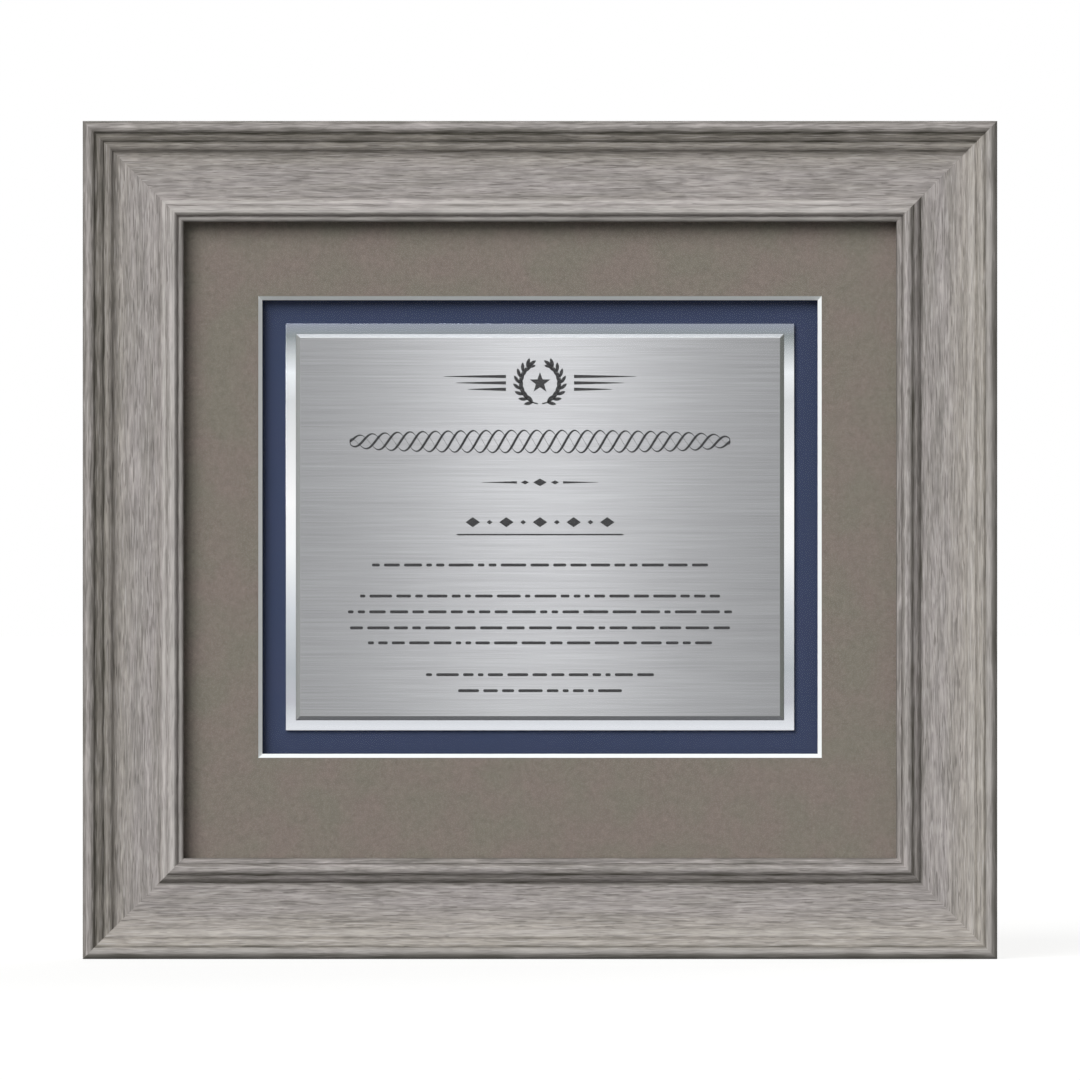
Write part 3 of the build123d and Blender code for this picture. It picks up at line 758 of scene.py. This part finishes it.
def leaf(root, heading, length, width):
    """A pointed leaf from its root: half its width times the 0.7th power of a sine along its length."""
    share = np.linspace(0, 1, 13)
    path = root + share[:, None] * length * circle(heading)
    return ribbon(path, width / 2 * np.sin(np.pi * share) ** 0.7 + BLUNT_TIP)


def bar(across, rise, half_length, half_height):
    """A bar with round ends: its half height follows a half circle over each end."""
    share = np.sin(np.linspace(-np.pi / 2, np.pi / 2, 15))
    from_end = np.clip((1 - np.abs(share)) * half_length / half_height, 0, 1)
    half_heights = half_height * np.sqrt(1 - (1 - from_end) ** 2) + BLUNT_TIP
    return ribbon(np.stack([across + share * half_length, rise + 0 * share], -1), half_heights)


def lozenge(across, rise, half_length, half_height):
    """A four-pointed lozenge: its half height falls evenly from its middle to both ends."""
    share = np.linspace(-1, 1, 9)
    path = np.stack([across + share * half_length, rise + 0 * share], -1)
    return ribbon(path, half_height * (1 - np.abs(share)) + BLUNT_TIP)


def rule(hand, start, end, rise, half_height, power):
    """A rule that tapers outwards: its half height falls with a power of the share of it that is left."""
    share = np.linspace(0, 1, 20)
    path = np.stack([hand * (start + (end - start) * share), rise + 0 * share], -1)
    return ribbon(path, half_height * (1 - share) ** power + RULE_TIP)


WREATH_RADIUS = 10.4 * MM
WREATH_RISE = 72.0 * MM
LEAF_LENGTH = 4.6 * MM
LEAF_WIDTH = 1.7 * MM
LEAF_LEAN = 0.55
STAR_REACHES = (5.4 * MM, 2.2 * MM)  # to its points and to its notches
emblem = []
for hand in (-1, 1):
    turns = np.linspace(np.radians(-84), np.radians(56), 60)
    stem = (0, WREATH_RISE) + WREATH_RADIUS * circle(turns) * [hand, 1]
    emblem.append(ribbon(stem, np.linspace(0.35, 0.15, 60) * MM))
    leaf_turns = np.linspace(np.radians(-70), np.radians(50), 8)
    leaves = [(turn, lean) for turn in leaf_turns for lean in (-LEAF_LEAN, LEAF_LEAN)]
    for turn, lean in [*leaves, (turns[-1], 0)]:
        root = (0, WREATH_RISE) + WREATH_RADIUS * circle(turn) * [hand, 1]
        heading = turn + np.pi / 2 + lean
        emblem.append(leaf(root, heading if hand > 0 else np.pi - heading, LEAF_LENGTH, LEAF_WIDTH))
    for rise, end in ((3.2, 48.0), (0.0, 42.0), (-3.2, 36.0)):
        emblem.append(rule(hand, 17.0 * MM, end * MM, WREATH_RISE + rise * MM, 0.75 * MM, 0.8))
corner = np.arange(11)
reach = np.where(corner % 2, STAR_REACHES[1], STAR_REACHES[0])[:, None]
star = face_middle + (0, WREATH_RISE) + reach * circle(np.pi / 2 + corner * np.pi / 5)
emblem.append(np.stack([stand_up(star, face_y - stand) for stand in (0, INFILL_STAND)]))

BAND_RISE = 42.7 * MM
BAND_HALF = 95.0 * MM
WAVE_HEIGHT = 5.6 * MM
WAVE_LENGTH = 19.0 * MM
share = np.linspace(-1, 1, 700)
for phase in np.arange(3) * 2 * np.pi / 3:
    envelope = np.sqrt(1 - share**2) ** 0.5
    swing = 2 * np.pi * share * BAND_HALF / WAVE_LENGTH + phase
    path = np.stack([share * BAND_HALF, BAND_RISE + WAVE_HEIGHT * envelope * np.sin(swing)], -1)
    emblem.append(ribbon(path, (0.34 + 0.26 * np.cos(swing)) * MM))

DIVIDER_RISE = 22.3 * MM
emblem.append(lozenge(0, DIVIDER_RISE, 3.4 * MM, 1.9 * MM))
for hand in (-1, 1):
    emblem.append(lozenge(hand * 7.5 * MM, DIVIDER_RISE, 2.0 * MM, 1.0 * MM))
    emblem.append(rule(hand, 11.5 * MM, 29.0 * MM, DIVIDER_RISE, 0.5 * MM, 1))

LOZENGES_RISE = 2.4 * MM
LOZENGES_APART = 8.4 * MM
for k in range(-4, 5):
    size = (1.5 * MM, 1.1 * MM) if k % 2 else (3.6 * MM, 2.5 * MM)
    emblem.append(lozenge(k * LOZENGES_APART, LOZENGES_RISE, *size))
emblem.append(bar(0, -3.8 * MM, 42.0 * MM, 0.38 * MM))

# The rows of bars, in millimetres: each row's rise over the plate's middle and half its length. Its bars
# are drawn at random, as many as fit it, and stretched to fill it.
line_rows = [(-19.0, 84), (-34.5, 90), (-42.4, 96), (-50.4, 95), (-57.9, 86), (-73.8, 57), (-81.8, 41)]
BAR_GAP = 2.0
SHORTEST_BAR, LONGEST_BAR = 2.5, 13.0
BAR_HALF_HEIGHT = 0.72
draw = np.random.default_rng(11)
for rise, half_row in line_rows:
    lengths = draw.uniform(SHORTEST_BAR, LONGEST_BAR, 60)
    count = int(np.searchsorted(np.cumsum(lengths + BAR_GAP), 2 * half_row + BAR_GAP))
    lengths = lengths[:count] * (2 * half_row - BAR_GAP * (count - 1)) / lengths[:count].sum()
    starts = -half_row + np.concatenate([[0], np.cumsum(lengths + BAR_GAP)[:-1]])
    for start, length in zip(starts, lengths):
        emblem.append(bar((start + length / 2) * MM, rise * MM, length / 2 * MM, BAR_HALF_HEIGHT * MM))

mesh = surface("engraving_infill", emblem)
finish_mesh(mesh, 30, 1e-9)
infill, tree, shader = new_material("black_enamel_baked_in_engraving")
place_in = add_node(tree, "TexCoord", {}, output="Object")
dust = add_node(tree, "TexNoise", {"Vector": place_in, "Scale": 1 / (0.8 * MM), "Detail": 3})
tone = add_node(tree, "ValToRGB", {"Fac": dust}, [(0.0, "#1B1B1D"), (1.0, "#3A3A3C")])
connect(tree, shader, {"Base Color": tone, "Roughness": 0.5, "Specular IOR Level": 0.3})
place("engraving_infill", mesh, "frame", "brushed_plate", [infill])

# Backing board
# A sheet of hardboard that closes the rabbet, held by the turn buttons. It is smooth and brown, with the
# faint fibres and darker clouds of pressed wood pulp.
hardboard, tree, shader = new_material("hardboard_pressed")
place_in = add_node(tree, "TexCoord", {}, output="Object")
layout = {"Vector": place_in, "Scale": 1 / (14 * MM), "Detail": 5, "Roughness": 0.65}
pulp = add_node(tree, "TexNoise", layout)
layout = {"Vector": place_in, "Scale": 1 / (1.4 * MM), "Detail": 4, "Distortion": 1.5}
fibre = add_node(tree, "TexNoise", layout)
tint = add_node(tree, "ValToRGB", {"Fac": pulp}, [(0.35, "#62452F"), (0.65, "#755339")])
pressed = lightened(tree, tint, (fibre, 0.8, 1.15))
rough = add_node(tree, "MapRange", {"Value": fibre, "To Min": 0.5, "To Max": 0.7})
bump = add_node(tree, "Bump", {"Height": fibre, "Distance": 0.04 * MM, "Strength": 0.5})
connect(tree, shader, {"Base Color": pressed, "Roughness": rough, "Normal": bump})
dress("backing_board", hardboard)

# Turn buttons
# Teardrops pressed from zinc-plated steel sheet, with a raised middle and a rim that the punch rounded.
# Each turns on its screw and holds the backing board with its arm.
BOSS_RADIUS = 6.0 * MM
TIP_RADIUS = 4.0 * MM
BUTTON_REACH = 17.0 * MM  # from the pivot to the centre of the tip
BUTTON_HOLE = 1.9 * MM  # radius
HOLE_EASE = 0.2 * MM
PUNCHED_EDGE = 0.4 * MM
RAISED = 0.3 * MM  # the middle over the rim
# The slope from the rim to the raised middle, as the distance in and the height over the rim
slope = np.array([(1.0, 0.0), (1.25, 0.08), (1.5, 0.23), (1.8, 0.30)]) * MM
turn_button_names = [name for name in nodes if name.startswith("turn_button") and name + "_turn" in joints]


def teardrop(inset, normals, arm):
    """A ring round two circles, at a distance in from their hull.

    The point whose outward normal is n is the circle's radius less the inset, along n from its centre. It
    lies on the tip's circle where n leans to the arm by more than the circles' radii differ over the reach.
    """
    at_tip = (normals @ arm > (BOSS_RADIUS - TIP_RADIUS) / BUTTON_REACH)[:, None]
    tip = arm * BUTTON_REACH + (TIP_RADIUS - inset) * normals
    return np.where(at_tip, tip, (BOSS_RADIUS - inset) * normals)


zinc, tree, shader = new_material("zinc_plated_steel_pressed")
place_in = add_node(tree, "TexCoord", {}, output="Object")
spangle = add_node(tree, "TexVoronoi", {"Vector": place_in, "Scale": 1 / (1.1 * MM)}, output="Color")
spangle = add_node(tree, "SeparateXYZ", {0: spangle})
dulled = add_node(tree, "TexNoise", {"Vector": place_in, "Scale": 1 / (4 * MM), "Detail": 4})
tone = add_node(tree, "ValToRGB", {"Fac": spangle}, [(0.0, "#93979A"), (1.0, "#ADB1B4")])
limits = {"Value": dulled, "From Min": 0.3, "From Max": 0.7, "To Min": 0.28, "To Max": 0.48}
rough = add_node(tree, "MapRange", limits)
bump = add_node(tree, "Bump", {"Height": dulled, "Distance": 0.02 * MM, "Strength": 0.4})
connect(tree, shader, {"Base Color": tone, "Metallic": 1.0, "Roughness": rough, "Normal": bump})

# Each button is rings of teardrops over the rim's quarter round and the slope, and then rings of the hole.
normals = circle(np.linspace(0, 2 * np.pi, 65))
rounding = PUNCHED_EDGE * (1 - circle(np.linspace(0, np.pi / 2, 5)))
for name in turn_button_names:
    low, high = (np.array(corner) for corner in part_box(name))
    pivot = np.array(joints[name + "_turn"]["pos_m"])[[0, 2]]
    arm = np.round(((low + high)[[0, 2]] / 2 - pivot) / (BUTTON_REACH / 2))
    thickness = high[1] - low[1]
    rim = thickness - RAISED
    rings = [teardrop(inset, normals, arm) for inset in (0.0, *rounding[:, 0], *slope[:, 0])]
    rings += [normals * (BUTTON_HOLE + HOLE_EASE), normals * BUTTON_HOLE, normals * BUTTON_HOLE, rings[0]]
    heights = [0.0, *(rim - rounding[:, 1]), *(rim + slope[:, 1])]
    heights = np.array([*heights, thickness, thickness - HOLE_EASE, 0.0, 0.0])[:, None]
    mesh = surface(name + "_pressing", [stand_up(pivot + np.array(rings), low[1] + heights)], caps=False)
    finish_mesh(mesh)
    place(name + "_pressing", mesh, name, "zinc_steel", [zinc], name)

# Turn button screws
# Zinc-plated pan head wood screws with a cross recess, driven until the button just turns. The driver
# stopped at another angle on each.
HEAD_RADIUS = 3.3 * MM
HEAD_HEIGHT = 2.1 * MM
HEAD_EDGE = 1.0 * MM  # height of the head's side
HEAD_EASE = 0.15 * MM
SHANK_RADIUS = 1.6 * MM
SCREW_LENGTH = 12.7 * MM
POINT_LENGTH = 4.0 * MM
POINT_SHARE = 0.02  # of the shank's radius that is left at the very point
THREAD_PITCH = 1.3 * MM
THREAD_DEPTH = 0.35 * MM
RECESS_REACH = 1.9 * MM
RECESS_SLOPE = 0.9 * MM  # the length over which the recess rises at its reach
RECESS_WIDTH = 0.5 * MM  # half of a slot's width
RECESS_DEPTH = 1.3 * MM
SCREW_STEPS = 72
CROSS_TURN = 0.7  # from one screw's cross to the next one's
# The rings of the head's top, closest where the recess ends
head_rings = [0.001, 0.2, 0.35, 0.5, 0.65, 0.85, 1.1, 1.35, 1.6, 1.8, 1.95, 2.1, 2.5, 2.8, 3.0, 3.15]


def screw(seat, turned):
    """A screw whose head sits on a seat and points back, with its cross turned by an angle.

    The head's height over the seat falls from its middle by the cube of the distance from the axis. The
    recess takes off a depth that fades to nothing at the two slots' sides and at their reach. The shank's
    radius rises and falls with the thread's pitch, and shrinks evenly to the point.
    """
    around = np.linspace(0, 2 * np.pi, SCREW_STEPS + 1)
    from_axis = np.array(head_rings)[:, None] * MM
    height = HEAD_EDGE + (HEAD_HEIGHT - HEAD_EDGE) * (1 - (from_axis / HEAD_RADIUS) ** 3)
    nearest = np.abs(circle(around - turned)).min(-1) * from_axis
    slot = smooth_step((RECESS_WIDTH * 1.25 - nearest) / (0.45 * RECESS_WIDTH))
    top = height - RECESS_DEPTH * slot * smooth_step((RECESS_REACH - from_axis) / RECESS_SLOPE)
    edge_radius = np.array([HEAD_RADIUS, HEAD_RADIUS, HEAD_RADIUS - HEAD_EASE, SHANK_RADIUS])[:, None]
    edge_height = np.array([HEAD_EDGE, HEAD_EASE, 0.0, 0.0])[:, None]
    down = np.linspace(0, SCREW_LENGTH, 60)[1:, None]
    thread = THREAD_DEPTH * (0.5 - 0.5 * np.cos(2 * np.pi * (down / THREAD_PITCH) + around))
    shank_radius = (SHANK_RADIUS - thread) * np.clip((SCREW_LENGTH - down) / POINT_LENGTH, POINT_SHARE, 1)
    radii, levels = (from_axis, edge_radius, shank_radius), (top, edge_height, -down)
    radius, level = (
        np.vstack([np.broadcast_to(rows, (len(rows), len(around))) for rows in stretches])
        for stretches in (radii, levels)
    )
    return np.array(seat) + np.stack([radius * np.cos(around), level, radius * np.sin(around)], -1)


seat_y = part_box("turn_button_screws")[1][1] - HEAD_HEIGHT
pivots = [joints[name + "_turn"]["pos_m"] for name in turn_button_names]
screws = [screw((pivot[0], seat_y, pivot[2]), CROSS_TURN * k) for k, pivot in enumerate(pivots)]
mesh = surface("turn_button_screws_turned", screws)
finish_mesh(mesh, 35, 1e-9)
place("turn_button_screws_turned", mesh, "frame", "zinc_steel", [zinc], "turn_button_screws")

# Strap hangers
# Steel strap folded back on itself round the ring's bar and zinc plated. The shear left its edges a little
# rounded.
SHEARED_EDGE = 0.18 * MM
for side in ("left", "right"):
    name = side + "_hanger_strap"
    mesh = nodes[name].data.copy()
    mesh.materials.clear()
    finish_mesh(mesh, 30)
    piece = place(name + "_sheet", mesh, "frame", "zinc_steel", [zinc], name)
    rounding = piece.modifiers.new("sheared_edge", "BEVEL")
    rounding.width = SHEARED_EDGE
    rounding.segments = 2
    rounding.limit_method = "ANGLE"
    rounding.angle_limit = np.radians(40)
    rounding.harden_normals = True

# D rings
# Steel wire bent to a D and zinc plated. Its bar is held in the strap's fold, and at rest its bow lies on
# the strap.
WIRE_RADIUS = 1.2 * MM
BAR_HALF = 5.4 * MM
CORNER_RADIUS = 3.0 * MM
SIDE_LENGTH = 0.6 * MM
RING_LEAN = np.radians(5.54)  # off the upright, so that the bow rests on the strap
WIRE_STEPS = 20


def d_ring(hinge):
    """Round wire along a D, from the middle of its bar and back to it.

    The D is a straight bar, a quarter circle at each end, two short sides and a half circle. Each point of
    the wire's skin is one of a circle in the D's outward normal and the plane's own normal.
    """
    half = BAR_HALF + CORNER_RADIUS
    quarter = np.linspace(0, np.pi / 2, 9)
    corner = [BAR_HALF, 0] + CORNER_RADIUS * np.stack([np.sin(quarter), np.cos(quarter) - 1], -1)
    bow = [0, -CORNER_RADIUS - SIDE_LENGTH] + half * circle(np.linspace(0, np.pi / 2, 15)) * [1, -1]
    right = np.vstack([[(0, 0), (BAR_HALF / 2, 0)], corner, bow])
    path = np.vstack([right, right[-2::-1] * [-1, 1]])
    direction = np.vstack([path[1:2] - path[-2:-1], path[2:] - path[:-2], path[1:2] - path[-2:-1]])
    normal = np.stack([-direction[:, 1], direction[:, 0]], -1) / np.linalg.norm(direction, axis=1)[:, None]
    down = np.array([0, np.sin(RING_LEAN), -np.cos(RING_LEAN)])
    out = np.array([0, np.cos(RING_LEAN), np.sin(RING_LEAN)])
    turn = np.linspace(0, 2 * np.pi, WIRE_STEPS + 1)[:, None]
    flat = path[:, None] + WIRE_RADIUS * np.cos(turn) * normal[:, None]
    lift = np.broadcast_to(WIRE_RADIUS * np.sin(turn), (*flat.shape[:2], 1))
    return np.array(hinge) + flat[..., :1] * RIGHT - flat[..., 1:] * down + lift * out


for side in ("left", "right"):
    name = side + "_hanger_ring"
    mesh = surface(name + "_wire", [d_ring(joints[side + "_ring_swing"]["pos_m"])], caps=False)
    finish_mesh(mesh, 50)
    place(name + "_wire", mesh, name, "zinc_steel", [zinc], name)

# Hanger screws
# The same zinc-plated pan head screws, two through each strap, driven home. Their crosses too stopped at
# angles of their own.
STRAP_HOLE_DROPS = (19.0 * MM, 29.5 * MM)  # below the ring's hinge line
CROSS_TURNS = (0.4, 1.3)
seat_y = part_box("hanger_screws")[1][1] - HEAD_HEIGHT
screws = []
for side in ("left", "right"):
    hinge = joints[side + "_ring_swing"]["pos_m"]
    for drop, turned in zip(STRAP_HOLE_DROPS, CROSS_TURNS):
        screws.append(screw((hinge[0], seat_y, hinge[2] - drop), turned + hinge[0]))
mesh = surface("hanger_screws_turned", screws)
finish_mesh(mesh, 35, 1e-9)
place("hanger_screws_turned", mesh, "frame", "zinc_steel", [zinc], "hanger_screws")

# Wall bumpers
# Moulded black rubber domes, stuck on, that keep the frame's foot off the wall. They are matt, with a fine
# tooth and the faint bloom of rubber. dome_rows is their section, in millimetres: the distance from the
# axis and the height over the wood.
dome_rows = [(0.001, 0), (5, 0), (5, 0.5), (4.95, 2.6), (4.8, 3.5)]
dome_rows += [(4.45, 4.15), (3.8, 4.62), (2.8, 4.87), (1.5, 4.97), (0.001, 5)]
low, high = (np.array(corner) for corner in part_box("wall_bumpers"))
radius, rise = np.array(dome_rows).T[..., None] * MM
around = np.linspace(0, 2 * np.pi, 49)
dome = np.stack([radius * np.cos(around), np.repeat(rise, 49, 1), radius * np.sin(around)], -1)
across_middle = high[0] - radius.max()
middles = [(hand * across_middle, low[1], (low + high)[2] / 2) for hand in (-1, 1)]
mesh = surface("wall_bumper_domes", [np.array(middle) + dome for middle in middles])
finish_mesh(mesh, 50)
rubber, tree, shader = new_material("rubber_moulded_matt")
place_in = add_node(tree, "TexCoord", {}, output="Object")
tooth = add_node(tree, "TexNoise", {"Vector": place_in, "Scale": 1 / (0.25 * MM), "Detail": 2})
bloom = add_node(tree, "TexNoise", {"Vector": place_in, "Scale": 1 / (3 * MM), "Detail": 3})
tone = add_node(tree, "ValToRGB", {"Fac": bloom}, [(0.0, "#1C1C1D"), (1.0, "#2B2B2C")])
rough = add_node(tree, "MapRange", {"Value": bloom, "To Min": 0.6, "To Max": 0.8})
bump = add_node(tree, "Bump", {"Height": tooth, "Distance": 0.03 * MM, "Strength": 0.5})
connect(tree, shader, {"Base Color": tone, "Roughness": rough, "Normal": bump, "Specular IOR Level": 0.4})
place("wall_bumper_domes", mesh, "frame", "black_rubber", [rubber], "wall_bumpers")

# Studio
# A pale floor, a soft key light from the upper left, a weaker light on the back and an even fill. A long
# lens looks straight at the frame, and a narrow card above the view, which only gloss shows, lays the soft
# upright band on the plaque.
VIEW_WIDTH = 537.8 * MM  # across the picture, at the frame's front
CAMERA_DISTANCE = 6.0
SENSOR = 36.0
camera_data = bpy.data.cameras.new("camera")
camera_data.sensor_width = SENSOR
camera_data.lens = SENSOR * CAMERA_DISTANCE / VIEW_WIDTH
camera = add_object("camera", camera_data)
camera.location = (0, cad_bounds[0][1] - CAMERA_DISTANCE, FRAME_MIDDLE[2])
camera.rotation_euler = (np.pi / 2, 0, 0)
bpy.context.scene.camera = camera


def look_back(way):
    """The turn of a lamp that lies some way from the frame and shines back along it."""
    return Vector(way).to_track_quat("Z", "Y").to_euler()


# Each lamp's way from the frame, its strength and how many degrees wide it shines
suns = {
    "key": ((-0.48, -0.78, 0.58), 3.15, 42.0),
    "back_light": ((0.35, 0.85, 0.45), 2.0, 60.0),
}
for name, (way, strength, spread) in suns.items():
    lamp_data = bpy.data.lights.new(name, "SUN")
    lamp_data.energy = strength
    lamp_data.angle = np.radians(spread)
    add_object(name, lamp_data).rotation_euler = look_back(way)

CARD_SIZE = (0.07, 0.7)
CARD_RISE = 38.0  # of the card's middle over the view, in degrees
CARD_DISTANCE = 1.15
card_data = bpy.data.lights.new("card", "AREA")
card_data.shape = "RECTANGLE"
card_data.size, card_data.size_y = CARD_SIZE
card_data.energy = 2.6
card = add_object("card", card_data)
card_way = np.array([0, -np.cos(np.radians(CARD_RISE)), np.sin(np.radians(CARD_RISE))])
card.location = FRAME_MIDDLE + CARD_DISTANCE * card_way
card.rotation_euler = look_back(card_way)
card.visible_camera = card.visible_diffuse = card.visible_transmission = False


def background_rays(tree):
    """One for a ray that comes from the camera, off gloss or through glass, and zero for one of light."""
    kinds = ("Is Camera Ray", "Is Glossy Ray", "Is Transmission Ray")
    seen, gloss, through = (add_node(tree, "LightPath", {}, output=kind) for kind in kinds)
    seen = add_node(tree, "Math", {0: seen, 1: gloss}, operation="MAXIMUM")
    return add_node(tree, "Math", {0: seen, 1: through}, operation="MAXIMUM")


FILL_STRENGTH = 0.32
world = bpy.data.worlds.new("white_studio")
world.use_nodes = True
bpy.context.scene.world = world
tree = world.node_tree
tree.nodes.clear()
fill = add_node(tree, "Background", {"Color": linear("#FFFFFF"), "Strength": FILL_STRENGTH})
white = add_node(tree, "Background", {"Color": linear("#FFFFFF"), "Strength": 1.0})
chosen = add_node(tree, "MixShader", {0: background_rays(tree), 1: fill, 2: white})
connect(tree, tree.nodes.new("ShaderNodeOutputWorld"), {"Surface": chosen})

FLOOR_HALF = 20.0
FLOOR_DROP = 0.1 * MM  # keeps the floor off the bottom rail's own face
FLOOR_GLOW = 0.80  # what the seen floor adds to its shaded colour, so that it comes out pale
floor_mesh = bpy.data.meshes.new("floor")
floor_corners = np.array([(-1, -1, 0), (1, -1, 0), (1, 1, 0), (-1, 1, 0)]) * FLOOR_HALF - (0, 0, FLOOR_DROP)
floor_mesh.from_pydata(floor_corners.tolist(), [], [(0, 1, 2, 3)])
floor = add_object("floor", floor_mesh)
pale, tree, shader = new_material("pale_floor_paint")
connect(tree, shader, {"Base Color": linear("#7E7E7C"), "Roughness": 0.9, "Specular IOR Level": 0.0})
glow = add_node(tree, "Math", {0: background_rays(tree), 1: FLOOR_GLOW}, operation="MULTIPLY")
connect(tree, shader, {"Emission Color": linear("#FFFFFF"), "Emission Strength": glow})
floor_mesh.materials.append(pale)

bpy.context.scene.view_settings.view_transform = "Standard"
